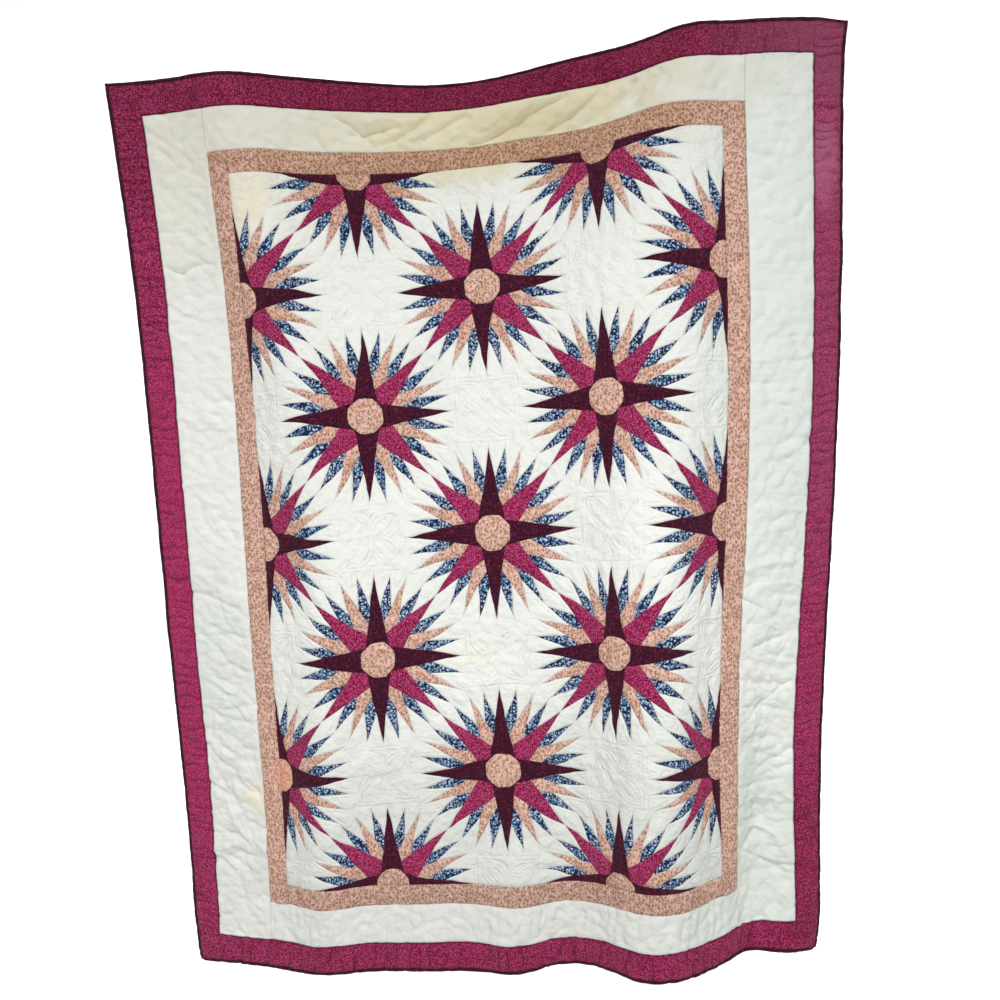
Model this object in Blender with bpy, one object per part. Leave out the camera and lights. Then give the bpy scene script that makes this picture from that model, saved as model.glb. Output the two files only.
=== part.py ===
"""A pieced star quilt blanket, about 1.83 x 2.32 m, hanging open from its top edge.

The quilt is laid out flat first, in metres across from its middle and down from its
top edge, and each cloth piece is a thin slab there. Every point is then carried onto
the hanging shape, which keeps the cloth's own lengths. +X is to the right seen from
the front, the front faces -Y, and the origin is the middle of the top edge.
"""

from collections import namedtuple

import bmesh
import bpy
import numpy as np

INCH = 0.0254

# Flat sizes
SQUARE = 12 * INCH
SQUARES_ACROSS = 4
SQUARES_DOWN = 6
BINDING_WIDTH = 0.3 * INCH
OUTER_WIDTH = 3.0 * INCH
WHITE_SIDE_WIDTH = 6.5 * INCH
WHITE_END_WIDTH = 4.25 * INCH
TAN_WIDTH = 2.2 * INCH
GAP = 0.0003

# Thickness of the layers, from the middle of the cloth to one face
SEAM_HALF_THICK = 0.0022
RAY_RISE = 0.0026
CIRCLE_RISE = 0.0030
GROUND_RISE = 0.0014
STRIP_RISE = 0.0014
CHANNEL_RISE = 0.0022
BACK_SHARE = 0.6
BINDING_INNER_HALF = 0.0030
BINDING_EDGE_HALF = 0.0018

# One compass star, in squares: its rays reach RAY_REACH from the centre
RAY_REACH = 0.70
RAY_HALF_WIDTH = 0.085
CIRCLE_RADIUS = 0.145

# Where a square's grid lines fall: close together beside the rays on its edges
SQUARE_SHARES = (0.0, 0.1, 0.26, 0.42, 0.58, 0.74, 0.9, 1.0)

# Broad folds of the hanging cloth, in metres. Each is a smooth swell, centred at
# place across and level down, that falls off over width and reach, and moves across
# by lean for each metre down. Depth is positive away from the front.
Swell = namedtuple("Swell", "place level width reach lean depth")
SWELLS = {
    "sag between the held corners": Swell(-0.01, 0.62, 0.43, 0.92, 0.08, 0.10),
    "belly of the cloth": Swell(0.28, 0.80, 0.70, 1.03, -0.20, -0.16),
    "left hem fold": Swell(-0.47, 1.82, 0.10, 0.60, -0.05, -0.05),
    "small middle hem fold": Swell(0.02, 2.26, 0.09, 0.36, -0.03, -0.04),
    "hem hollow": Swell(0.14, 2.56, 0.19, 0.30, -0.05, 0.05),
    "right hem fold": Swell(0.41, 1.86, 0.165, 1.14, 0.0, -0.13),
    "right corner hollow": Swell(0.73, 2.10, 0.07, 0.62, -0.10, 0.035),
    "fold under the left hold": Swell(-0.51, 0.60, 0.12, 0.80, 0.16, -0.065),
    "fold under the right hold": Swell(0.52, 0.28, 0.08, 0.85, -0.055, -0.027),
    "slanting fold at the right": Swell(0.32, 0.12, 0.13, 0.33, -0.46, 0.04),
}

# How far each side swings back: where the turn starts across, how soft its start is,
# and its slope at the top edge and at the hem.
LEFT_TURN = {"start": 0.69, "soft": 0.17, "top": 0.0, "hem": 0.40}
RIGHT_TURN = {"start": 0.82, "soft": 0.06, "top": 0.28, "hem": 0.70}

# The top edge dips between the held corners, and the dip fades out downwards.
DIP = {"depth": 0.065, "half_width": 0.38, "fade": 0.23}
ROW_SLOPE_TOP = -0.014
ROW_SLOPE_ALL = 0.008
HEM_DRIFT = -0.007

# Steps for adding up lengths along the cloth, and for its slopes
LENGTH_STEPS = 24
SLOPE_STEP = 0.004

FIELD_HALF = SQUARES_ACROSS / 2 * SQUARE
TAN_HALF = FIELD_HALF + TAN_WIDTH
WHITE_HALF = TAN_HALF + WHITE_SIDE_WIDTH
OUTER_HALF = WHITE_HALF + OUTER_WIDTH
QUILT_HALF = OUTER_HALF + BINDING_WIDTH

OUTER_TOP = BINDING_WIDTH
WHITE_TOP = OUTER_TOP + OUTER_WIDTH
TAN_TOP = WHITE_TOP + WHITE_END_WIDTH
FIELD_TOP = TAN_TOP + TAN_WIDTH
FIELD_BOTTOM = FIELD_TOP + SQUARES_DOWN * SQUARE
TAN_BOTTOM = FIELD_BOTTOM + TAN_WIDTH
WHITE_BOTTOM = TAN_BOTTOM + WHITE_END_WIDTH
OUTER_BOTTOM = WHITE_BOTTOM + OUTER_WIDTH
QUILT_BOTTOM = OUTER_BOTTOM + BINDING_WIDTH

COLORS = {
    "white ground": (0.80, 0.80, 0.74),
    "tan print": (0.55, 0.37, 0.25),
    "raspberry print": (0.26, 0.02, 0.09),
    "dark maroon": (0.07, 0.008, 0.025),
}


def rounded_ramp(distance, soft):
    """Zero before the start, then a straight rise, with a rounded bend between."""
    return soft * np.logaddexp(0.0, distance / soft)


def fold_depth(across, down):
    """Depth of the hanging cloth: the sum of its swells and of its two turned sides."""
    depth = np.zeros(np.broadcast(across, down).shape)
    for swell in SWELLS.values():
        below = (down - swell.level) / swell.reach
        beside = (across - swell.place - swell.lean * (down - swell.level)) / swell.width
        depth = depth + swell.depth * np.exp(-(beside**2) - below**2)
    share = down / QUILT_BOTTOM
    for turn, outward in ((LEFT_TURN, -across), (RIGHT_TURN, across)):
        slope = turn["top"] + (turn["hem"] - turn["top"]) * share
        depth = depth + slope * rounded_ramp(outward - turn["start"], turn["soft"])
    return depth


def drape(across, down):
    """Hanging position of flat points. Where the cloth turns in depth, it advances
    less across and down, so that its own lengths stay the same."""
    share = (np.arange(LENGTH_STEPS) + 0.5) / LENGTH_STEPS
    path = across[:, None] * share
    level = np.repeat(down[:, None], LENGTH_STEPS, axis=1)
    rise = fold_depth(path + SLOPE_STEP, level) - fold_depth(path - SLOPE_STEP, level)
    slope = rise / (2 * SLOPE_STEP)
    x = across * np.sqrt(np.maximum(1 - slope**2, 0.05)).mean(axis=1)

    path = np.repeat(across[:, None], LENGTH_STEPS, axis=1)
    level = down[:, None] * share
    rise = fold_depth(path, level + SLOPE_STEP) - fold_depth(path, level - SLOPE_STEP)
    slope = rise / (2 * SLOPE_STEP)
    z = -down * np.sqrt(np.maximum(1 - slope**2, 0.05)).mean(axis=1)

    dip = DIP["depth"] * np.exp(-((across / DIP["half_width"]) ** 2) - down / DIP["fade"])
    z = z - dip + across * (ROW_SLOPE_TOP * np.exp(-down) + ROW_SLOPE_ALL)
    x = x + HEM_DRIFT * down**2
    return np.stack([x, fold_depth(across, down), z], axis=1)


TOP_MIDDLE = drape(np.zeros(1), np.zeros(1))[0]


def hang(flat):
    """Carries points (across, down, height over the middle of the cloth) into place."""
    across, down, height = flat.T
    middle = drape(across, down) - TOP_MIDDLE
    step = SLOPE_STEP
    along = drape(across + step, down) - drape(across - step, down)
    falling = drape(across, down + step) - drape(across, down - step)
    normal = np.cross(falling, along)
    normal /= np.linalg.norm(normal, axis=1)[:, None]
    return middle + height[:, None] * normal


def star_rise(across, down):
    """Puff of the star field: ridges along the eight main rays of each star, a round
    centre, and a low puff of the ground between stars."""
    column = across / SQUARE + SQUARES_ACROSS / 2
    row = (down - FIELD_TOP) / SQUARE
    best = np.full(across.shape, 9.0)
    rise = np.zeros(across.shape)
    for i in range(SQUARES_ACROSS + 1):
        for j in range(SQUARES_DOWN + 1):
            if (i + j) % 2 == 0:
                continue
            x = column - i
            y = row - j
            radius = np.hypot(x, y)
            nearer = radius < best
            best = np.where(nearer, radius, best)
            off = np.angle(np.exp(8j * np.arctan2(y, x))) / 8
            beside = np.abs(radius * np.sin(off))
            taper = np.clip(1 - radius / RAY_REACH, 0, 1)
            half_width = RAY_HALF_WIDTH * np.clip(1.3 * taper, 0, 1) + 0.002
            ridge = np.clip(1 - beside / half_width, 0, 1) * (0.35 + 0.65 * taper)
            ridge = np.where(radius < RAY_REACH + 0.02, RAY_RISE * ridge, 0)
            centre = CIRCLE_RISE * (radius < CIRCLE_RADIUS)
            rise = np.where(nearer, np.maximum(ridge, centre), rise)
    ground = GROUND_RISE * np.clip((best - RAY_REACH) / (1 - RAY_REACH), 0, 1)
    return rise + ground


def pillow(position, low, high):
    """One in the middle of a strip, zero at its two seams."""
    share = np.clip((position - low) / (high - low), 0, 1)
    return np.sin(np.pi * share)


def square_lines(start, squares):
    """Grid lines through a run of squares."""
    lines = [start + (k + share) * SQUARE for k in range(squares) for share in SQUARE_SHARES[:-1]]
    return lines + [start + squares * SQUARE]


def strip_lines(start, end, parts):
    """Even grid lines across a strip, its first line left out."""
    return [start + (end - start) * k / parts for k in range(1, parts + 1)]


def halved(lines):
    """The same lines with one more between each pair."""
    middles = [(a + b) / 2 for a, b in zip(lines[:-1], lines[1:])]
    return sorted(lines + middles)


FIELD_COLUMNS = square_lines(-FIELD_HALF, SQUARES_ACROSS)
FIELD_ROWS = square_lines(FIELD_TOP, SQUARES_DOWN)

TAN_EDGE = strip_lines(FIELD_HALF, TAN_HALF, 2)
TAN_COLUMNS = [-c for c in TAN_EDGE[::-1]] + FIELD_COLUMNS + TAN_EDGE
WHITE_EDGE = strip_lines(TAN_HALF, WHITE_HALF, 3)
WHITE_COLUMNS = [-c for c in WHITE_EDGE[::-1]] + TAN_COLUMNS + WHITE_EDGE
OUTER_COLUMNS = [-OUTER_HALF] + WHITE_COLUMNS + [OUTER_HALF]

TAN_ROWS = [TAN_TOP] + strip_lines(TAN_TOP, FIELD_TOP, 2)[:-1] + FIELD_ROWS
TAN_ROWS = TAN_ROWS + strip_lines(FIELD_BOTTOM, TAN_BOTTOM, 2)
WHITE_ROWS = [WHITE_TOP] + strip_lines(WHITE_TOP, TAN_TOP, 2)[:-1] + TAN_ROWS
WHITE_ROWS = WHITE_ROWS + strip_lines(TAN_BOTTOM, WHITE_BOTTOM, 2)
OUTER_ROWS = [OUTER_TOP] + WHITE_ROWS + [OUTER_BOTTOM]


def between(lines, low, high):
    """The grid lines of one piece, drawn in by half a gap at each end."""
    inside = [line for line in lines if low + GAP < line < high - GAP]
    return [low + GAP / 2] + inside + [high - GAP / 2]


def material_of(name):
    """A cloth material of the given colour, made once."""
    found = bpy.data.materials.get(name)
    if found:
        return found
    material = bpy.data.materials.new(name)
    material.use_nodes = True
    shader = material.node_tree.nodes["Principled BSDF"]
    shader.inputs["Base Color"].default_value = (*COLORS[name], 1)
    shader.inputs["Roughness"].default_value = 0.9
    shader.inputs["Metallic"].default_value = 0.0
    return material


def falls_right(column, row):
    """Whether a grid cell's diagonal runs down to the right, along the slanting rays."""
    per_square = len(SQUARE_SHARES) - 1
    return (column // per_square + row // per_square) % 2 == 1


def split_cells(body, cell):
    """Splits every front and back cell along the slanting rays."""
    for face in [face for face in body.faces if len({cell[v] for v in face.verts}) == 4]:
        low_column = min(cell[v][0] for v in face.verts)
        low_row = min(cell[v][1] for v in face.verts)
        corner = {(cell[v][0] - low_column, cell[v][1] - low_row): v for v in face.verts}
        if falls_right(low_column, low_row):
            bmesh.utils.face_split(face, corner[0, 0], corner[1, 1])
        else:
            bmesh.utils.face_split(face, corner[1, 0], corner[0, 1])


def slab(name, columns, rows, height, color, along_rays=False, fine_ends=False):
    """One cloth piece: a grid of its columns and rows, extruded to a closed slab. Its
    front stands height(across, down, column, row) over the middle of the cloth, its
    back puffs less, and then every point is hung. With fine_ends the edges along its
    top and bottom seams are halved, to lie close to a neighbour with a finer grid."""
    body = bmesh.new()
    across_count = len(columns) - 1
    down_count = len(rows) - 1
    bmesh.ops.create_grid(body, x_segments=across_count, y_segments=down_count, size=0.5)
    grown = bmesh.ops.extrude_face_region(body, geom=list(body.faces))
    for item in grown["geom"]:
        if isinstance(item, bmesh.types.BMVert):
            item.co.z = -1
    if along_rays:
        cell = {v: (round((v.co.x + 0.5) * across_count), round((v.co.y + 0.5) * down_count)) for v in body.verts}
        split_cells(body, cell)
    if fine_ends:
        ends = [e for e in body.edges if e.verts[0].co.y == e.verts[1].co.y and abs(e.verts[0].co.y) > 0.4999]
        ends = [e for e in ends if e.verts[0].co.z == e.verts[1].co.z]
        bmesh.ops.subdivide_edges(body, edges=ends, cuts=1)
    bmesh.ops.triangulate(body, faces=list(body.faces), quad_method="BEAUTY")

    verts = list(body.verts)
    column = np.array([(v.co.x + 0.5) * across_count for v in verts])
    row = np.array([(v.co.y + 0.5) * down_count for v in verts])
    across = np.interp(column, np.arange(across_count + 1), columns)
    down = np.interp(row, np.arange(down_count + 1), rows)
    over = height(across, down, np.round(column), np.round(row))
    is_front = np.array([v.co.z > -0.5 for v in verts])
    over = np.where(is_front, over, -SEAM_HALF_THICK - BACK_SHARE * (over - SEAM_HALF_THICK))
    for v, place in zip(verts, hang(np.stack([across, down, over], axis=1))):
        v.co = place
    body.normal_update()
    bmesh.ops.recalc_face_normals(body, faces=list(body.faces))

    mesh = bpy.data.meshes.new(name)
    body.to_mesh(mesh)
    body.free()
    mesh.materials.append(material_of(color))
    mesh.shade_smooth()
    piece = bpy.data.objects.new(name, mesh)
    parts.objects.link(piece)
    return piece


def field_height(across, down, column, row):
    return SEAM_HALF_THICK + star_rise(across, down)


def strip_height(seams, runs_down):
    """Height of a plain strip: a pillow between its two seams, a little uneven."""

    def height(across, down, column, row):
        position = np.abs(across) if runs_down else down
        uneven = 0.8 + 0.2 * np.cos((row if runs_down else column) * np.pi)
        return SEAM_HALF_THICK + STRIP_RISE * pillow(position, *seams) * uneven

    return height


def channel_height(runs_down):
    """Height of a border quilted crosswise: every other line of its grid is a ridge."""

    def height(across, down, column, row):
        ridge = (row if runs_down else column) % 2
        return SEAM_HALF_THICK + CHANNEL_RISE * ridge

    return height


def binding_height(inner, outer, runs_down):
    """Height of the folded edge binding, full at its seam and thinner at the edge."""

    def height(across, down, column, row):
        position = np.abs(across) if runs_down else down
        share = np.clip((position - inner) / (outer - inner), 0, 1)
        return BINDING_INNER_HALF + (BINDING_EDGE_HALF - BINDING_INNER_HALF) * share

    return height


for old in list(bpy.data.objects):
    bpy.data.objects.remove(old, do_unlink=True)
parts = bpy.data.collections.new("star_quilt_blanket")
bpy.context.scene.collection.children.link(parts)

slab(
    "star_field",
    between(FIELD_COLUMNS, -FIELD_HALF, FIELD_HALF),
    between(FIELD_ROWS, FIELD_TOP, FIELD_BOTTOM),
    field_height,
    "white ground",
    along_rays=True,
    fine_ends=True,
)

# Each ring of borders has two side strips of full height, with the top and bottom
# strips butted between them.
for label, color, inner_half, outer_half, columns, rows, ends in (
    ("tan_border", "tan print", FIELD_HALF, TAN_HALF, FIELD_COLUMNS, TAN_ROWS,
     ((TAN_TOP, FIELD_TOP), (FIELD_BOTTOM, TAN_BOTTOM))),
    ("white_border", "white ground", TAN_HALF, WHITE_HALF, TAN_COLUMNS, WHITE_ROWS,
     ((WHITE_TOP, TAN_TOP), (TAN_BOTTOM, WHITE_BOTTOM))),
    ("outer_border", "raspberry print", WHITE_HALF, OUTER_HALF, WHITE_COLUMNS, OUTER_ROWS,
     ((OUTER_TOP, WHITE_TOP), (WHITE_BOTTOM, OUTER_BOTTOM))),
    ("binding", "dark maroon", OUTER_HALF, QUILT_HALF, OUTER_COLUMNS, OUTER_ROWS,
     ((0.0, OUTER_TOP), (OUTER_BOTTOM, QUILT_BOTTOM))),
):
    top, bottom = ends[0][0], ends[1][1]
    quilted = label == "outer_border"
    edge = label == "binding"
    parts_across = {"tan_border": 2, "white_border": 3}.get(label, 1)
    parts_down = 1 if edge else 2
    for side, sign in (("left", -1), ("right", 1)):
        low, high = sorted((sign * inner_half, sign * outer_half))
        if quilted:
            height = channel_height(runs_down=True)
        elif edge:
            height = binding_height(inner_half, outer_half, runs_down=True)
        else:
            height = strip_height((inner_half, outer_half), runs_down=True)
        long_lines = between(rows, top, bottom)
        slab(
            f"{label}_{side}",
            between(strip_lines(low, high, parts_across), low, high),
            halved(long_lines) if quilted else long_lines,
            height,
            color,
            fine_ends=not edge,
        )
    for side, (low, high) in zip(("top", "bottom"), ends):
        if quilted:
            height = channel_height(runs_down=False)
        elif edge:
            inner, outer = (high, low) if side == "top" else (low, high)
            height = binding_height(inner, outer, runs_down=False)
        else:
            height = strip_height((low, high), runs_down=False)
        long_lines = between(columns, -inner_half, inner_half)
        slab(
            f"{label}_{side}",
            halved(long_lines) if quilted or edge else long_lines,
            between(strip_lines(low, high, parts_down), low, high),
            height,
            color,
            fine_ends=label in ("tan_border", "white_border"),
        )
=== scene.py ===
import math

import bpy
import numpy as np
from mathutils import Matrix, Vector


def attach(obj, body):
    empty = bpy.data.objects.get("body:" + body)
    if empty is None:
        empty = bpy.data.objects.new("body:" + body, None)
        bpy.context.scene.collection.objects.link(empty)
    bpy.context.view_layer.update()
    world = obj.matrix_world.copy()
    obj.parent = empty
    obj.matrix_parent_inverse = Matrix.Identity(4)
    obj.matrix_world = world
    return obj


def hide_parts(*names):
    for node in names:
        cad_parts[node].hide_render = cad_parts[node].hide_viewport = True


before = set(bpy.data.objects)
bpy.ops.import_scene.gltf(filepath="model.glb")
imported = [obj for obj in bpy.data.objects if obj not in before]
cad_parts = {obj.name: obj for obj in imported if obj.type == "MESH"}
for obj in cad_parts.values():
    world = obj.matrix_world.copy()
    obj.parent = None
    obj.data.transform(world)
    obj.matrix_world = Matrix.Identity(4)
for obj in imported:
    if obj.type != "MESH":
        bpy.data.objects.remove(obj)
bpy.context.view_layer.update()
print("frame loaded")


# sizes of the quilt laid flat, in metres, across from its middle and down from its top edge
inch = 0.0254
quilt = {
    "square": 12 * inch,
    "squaresAcross": 4,
    "squaresDown": 6,
    "binding": 0.3 * inch,
    "outer": 3.0 * inch,
    "whiteSide": 6.5 * inch,
    "whiteEnd": 4.25 * inch,
    "tan": 2.2 * inch,
    "gap": 0.0003,  # between two sewn pieces
    "halfThick": 0.0022,  # from the middle of the cloth to either face, at a seam
    "backShare": 0.6,  # the back puffs by this share of the front
}

fieldHalf = quilt["squaresAcross"] / 2 * quilt["square"]
tanHalf = fieldHalf + quilt["tan"]
whiteHalf = tanHalf + quilt["whiteSide"]
outerHalf = whiteHalf + quilt["outer"]
quiltHalf = outerHalf + quilt["binding"]
outerTop = quilt["binding"]
whiteTop = outerTop + quilt["outer"]
tanTop = whiteTop + quilt["whiteEnd"]
fieldTop = tanTop + quilt["tan"]
fieldBottom = fieldTop + quilt["squaresDown"] * quilt["square"]
tanBottom = fieldBottom + quilt["tan"]
whiteBottom = tanBottom + quilt["whiteEnd"]
outerBottom = whiteBottom + quilt["outer"]
quiltBottom = outerBottom + quilt["binding"]

# how the quilt hangs, the same numbers as its solids have, apart from the small pulls at its corners
hanging = {
    "folds": [  # place across, level down, width, reach, lean, depth away from the front
        (-0.01, 0.62, 0.43, 0.92, 0.08, 0.10),  # sag between the held corners
        (0.28, 0.80, 0.70, 1.03, -0.20, -0.16),  # belly of the cloth
        (-0.47, 1.82, 0.10, 0.60, -0.05, -0.05),  # left hem fold
        (0.02, 2.26, 0.09, 0.36, -0.03, -0.04),  # small middle hem fold
        (0.14, 2.56, 0.19, 0.30, -0.05, 0.05),  # hem hollow
        (0.41, 1.86, 0.165, 1.14, 0.0, -0.13),  # right hem fold
        (0.73, 2.10, 0.07, 0.62, -0.10, 0.035),  # right corner hollow
        (-0.51, 0.60, 0.12, 0.80, 0.16, -0.065),  # fold under the left hold
        (0.52, 0.28, 0.08, 0.85, -0.055, -0.027),  # fold under the right hold
        (0.32, 0.12, 0.13, 0.33, -0.46, 0.04),  # slanting fold at the right
    ],
    "leftTurn": (0.69, 0.17, 0.0, 0.40),  # start across, softness, slope at the top, at the hem
    "rightTurn": (0.82, 0.06, 0.28, 0.70),
    "dip": (0.065, 0.38, 0.23),  # depth, half width and fade of the top edge's dip
    "rowSlope": (-0.014, 0.008),  # of every row, fading down, and all over
    "hemDrift": -0.007,
    "pulls": [  # corners drawn out or rounded: across, down, reach, shift sideways, shift up
        (quiltHalf, quiltBottom, 0.085, -0.0105, -0.017),
        (quiltHalf, quiltBottom, 0.014, -0.004, 0.004),
        (-quiltHalf, quiltBottom, 0.085, 0.009, -0.010),
        (-quiltHalf, quiltBottom, 0.014, 0.005, 0.005),
        (quiltHalf, 0.0, 0.050, 0.004, -0.007),
    ],
    "steps": 24,
    "slopeStep": 0.004,
}

# creases pressed into the cloth: both ends (across, down), width and depth, away from the front if above 0
creases = [
    (-0.53, 0.110, -0.505, 0.178, 0.0084, 0.0050), (-0.485, 0.112, -0.44, 0.180, 0.0099, 0.0060),
    (-0.395, 0.118, -0.375, 0.178, 0.0091, 0.0055), (-0.335, 0.106, -0.25, 0.180, 0.0068, 0.0116),
    (-0.30, 0.146, -0.19, 0.124, 0.0076, 0.0099), (-0.225, 0.172, -0.110, 0.098, 0.0068, 0.0116),
    (-0.255, 0.112, -0.205, 0.104, 0.0068, -0.0072), (-0.165, 0.160, -0.115, 0.140, 0.0068, -0.0072),
    (-0.115, 0.158, -0.02, 0.102, 0.0084, 0.0099), (-0.062, 0.172, -0.01, 0.140, 0.0076, -0.0066),
    (-0.010, 0.184, 0.145, 0.110, 0.0076, 0.0116), (0.078, 0.184, 0.232, 0.102, 0.0076, 0.0121),
    (0.183, 0.180, 0.322, 0.092, 0.0084, 0.0127), (0.280, 0.180, 0.396, 0.108, 0.0084, 0.0127),
    (0.380, 0.176, 0.455, 0.108, 0.0099, 0.0088), (0.02, 0.150, 0.085, 0.112, 0.0076, -0.0066),
    (0.235, 0.176, 0.300, 0.128, 0.0084, -0.0066), (0.470, 0.150, 0.500, 0.110, 0.0091, 0.0044),
    (-0.815, 0.452, -0.78, 0.468, 0.007, 0.0075), (-0.78, 0.468, -0.69, 0.458, 0.007, 0.0070),
    (-0.78, 0.470, -0.76, 0.515, 0.009, 0.0040), (-0.82, 0.235, -0.77, 0.310, 0.012, 0.0030),
    (-0.83, 0.345, -0.80, 0.405, 0.012, 0.0022), (-0.77, 0.600, -0.76, 0.720, 0.016, 0.0020),
    (-0.83, 1.760, -0.68, 1.744, 0.011, 0.0045), (-0.82, 1.808, -0.73, 1.788, 0.010, 0.0035),
    (-0.82, 1.880, -0.74, 1.890, 0.010, 0.0035), (-0.82, 1.615, -0.73, 1.636, 0.010, 0.0035),
    (-0.77, 1.648, -0.69, 1.698, 0.012, 0.0040), (-0.80, 1.932, -0.70, 1.990, 0.012, 0.0045),
    (-0.78, 2.020, -0.71, 2.070, 0.012, 0.0040), (-0.81, 1.500, -0.70, 1.530, 0.012, 0.0030),
    (-0.80, 1.340, -0.70, 1.320, 0.012, 0.0025), (-0.80, 1.100, -0.71, 1.150, 0.014, 0.0022),
    (0.67, 1.724, 0.83, 1.748, 0.009, 0.0045), (0.70, 1.900, 0.74, 1.950, 0.013, 0.0050),
    (0.74, 1.950, 0.735, 1.990, 0.012, 0.0045), (0.745, 2.000, 0.82, 1.972, 0.013, 0.0050),
    (0.75, 1.862, 0.82, 1.912, 0.013, 0.0045), (0.78, 2.076, 0.80, 2.125, 0.013, 0.0040),
    (0.69, 1.640, 0.81, 1.660, 0.011, 0.0030), (0.69, 1.560, 0.76, 1.600, 0.012, 0.0030),
    (0.70, 1.420, 0.81, 1.400, 0.012, 0.0025), (0.72, 1.230, 0.82, 1.270, 0.013, 0.0022),
    (0.77, 0.690, 0.80, 0.770, 0.013, 0.0030), (0.75, 0.822, 0.82, 0.794, 0.012, 0.0028),
    (0.68, 0.710, 0.695, 0.760, 0.012, 0.0020), (0.66, 0.178, 0.74, 0.166, 0.008, 0.0020),
    (0.665, 0.232, 0.72, 0.237, 0.008, 0.0018), (0.68, 1.000, 0.80, 1.050, 0.014, 0.0022),
]


strewn = {  # short creases without a place of their own; a pair is the smallest and the largest value
    "strips": [  # side, inner and outer half width, mean slant
        (-1, tanHalf + 0.02, whiteHalf - 0.02, 0.35),
        (1, tanHalf + 0.02, whiteHalf - 0.02, 0.30),
    ],
    "start": 0.15,  # down from the top edge
    "count": 110,
    "gap": (0.008, 0.026),
    "fewTop": 0.20,  # share of them that is kept at the top
    "length": (0.06, 0.17),
    "turn": 0.55,  # spread of the slant
    "depth": (0.0030, 0.0085),
    "width": (0.0052, 0.0095),
    "inward": 0.7,  # share of them that goes away from the front
    "seed": 12,
}


# cloth maths that works on numpy arrays and on shader sockets alike
class Wire:  # one output socket; arithmetic on it adds Math nodes
    def __init__(self, paint, socket):
        self.paint = paint
        self.socket = socket

    def maths(self, operation, *values):
        return self.paint.node("ShaderNodeMath", {"operation": operation}, dict(enumerate(values)))

    def __add__(self, other):
        return self.maths("ADD", self, other)

    def __radd__(self, other):
        return self.maths("ADD", other, self)

    def __sub__(self, other):
        return self.maths("SUBTRACT", self, other)

    def __rsub__(self, other):
        return self.maths("SUBTRACT", other, self)

    def __rtruediv__(self, other):
        return self.maths("DIVIDE", other, self)

    def __mul__(self, other):
        return self.maths("MULTIPLY", self, other)

    def __rmul__(self, other):
        return self.maths("MULTIPLY", other, self)

    def __truediv__(self, other):
        return self.maths("DIVIDE", self, other)

    def __neg__(self):
        return self.maths("MULTIPLY", self, -1.0)

    def __abs__(self):
        return self.maths("ABSOLUTE", self)

    def __gt__(self, other):
        return self.maths("GREATER_THAN", self, other)


class Paint:  # one material being built
    def __init__(self, name, sheen):
        self.material = bpy.data.materials.new(name)
        self.material.use_nodes = True
        self.tree = self.material.node_tree
        self.shader = self.tree.nodes["Principled BSDF"]
        self.shader.inputs["Metallic"].default_value = 0.0
        self.shader.inputs["Sheen Weight"].default_value = sheen
        self.shader.inputs["Sheen Roughness"].default_value = 0.6
        self.shader.inputs["Specular IOR Level"].default_value = 0.12
        self.flat = self.node("ShaderNodeUVMap", {"uv_map": "flat"})
        self.across = self.node("ShaderNodeSeparateXYZ", {}, {0: self.flat})
        self.down = self.other(self.across, 1)

    def node(self, kind, settings=None, values=None, output=0):
        made = self.tree.nodes.new(kind)
        for key, value in (settings or {}).items():
            setattr(made, key, value)
        for key, value in (values or {}).items():
            if isinstance(value, Wire):
                self.tree.links.new(value.socket, made.inputs[key])
            else:
                made.inputs[key].default_value = value
        return Wire(self, made.outputs[output])

    def other(self, wire, output):  # another output of the same node
        return Wire(self, wire.socket.node.outputs[output])

    def mix(self, share, first, second, blend="MIX"):  # two colours
        settings = {"data_type": "RGBA", "blend_type": blend}
        return self.node("ShaderNodeMix", settings, {0: share, 6: first, 7: second}, 2)

    def place(self, size, stretch, shift):  # the flat place counted in steps of size metres
        scale = (stretch[0] / size, stretch[1] / size, 1)
        return self.node("ShaderNodeMapping", {}, {0: self.flat, 1: (shift, shift, 0), 3: scale})

    def noise(self, size, detail=2.0, stretch=(1.0, 1.0), shift=0.0):  # 0 to 1, clouds about size metres long
        values = {"Vector": self.place(size, stretch, shift), "Scale": 1.0, "Detail": detail}
        return self.node("ShaderNodeTexNoise", {"noise_dimensions": "2D"}, values)

    def specks(self, size, shift=0.0, stretch=(1.0, 1.0)):
        # distance from the nearest of many scattered dots, and two random values that each dot has
        values = {"Vector": self.place(size, stretch, shift), "Scale": 1.0}
        distance = self.node("ShaderNodeTexVoronoi", {"voronoi_dimensions": "2D"}, values)
        chance = self.node("ShaderNodeSeparateColor", {}, {0: self.other(distance, "Color")})
        return distance, chance, self.other(chance, 1)

    def finish(self, colour, rough, height):
        self.tree.links.new(colour.socket, self.shader.inputs["Base Color"])
        self.tree.links.new(rough.socket, self.shader.inputs["Roughness"])
        bump = self.node("ShaderNodeBump", {}, {"Height": height, "Distance": 1.0, "Strength": 1.0})
        self.tree.links.new(bump.socket, self.shader.inputs["Normal"])
        return self.material


def larger(a, b):
    return a.maths("MAXIMUM", a, b) if isinstance(a, Wire) else np.maximum(a, b)


def smaller(a, b):
    return a.maths("MINIMUM", a, b) if isinstance(a, Wire) else np.minimum(a, b)


def root(a):
    return a.maths("SQRT", a) if isinstance(a, Wire) else np.sqrt(a)


def nearestWhole(a):
    return a.maths("FLOOR", a + 0.5) if isinstance(a, Wire) else np.floor(a + 0.5)


def wave(a):
    return a.maths("SINE", a) if isinstance(a, Wire) else np.sin(a)


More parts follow.
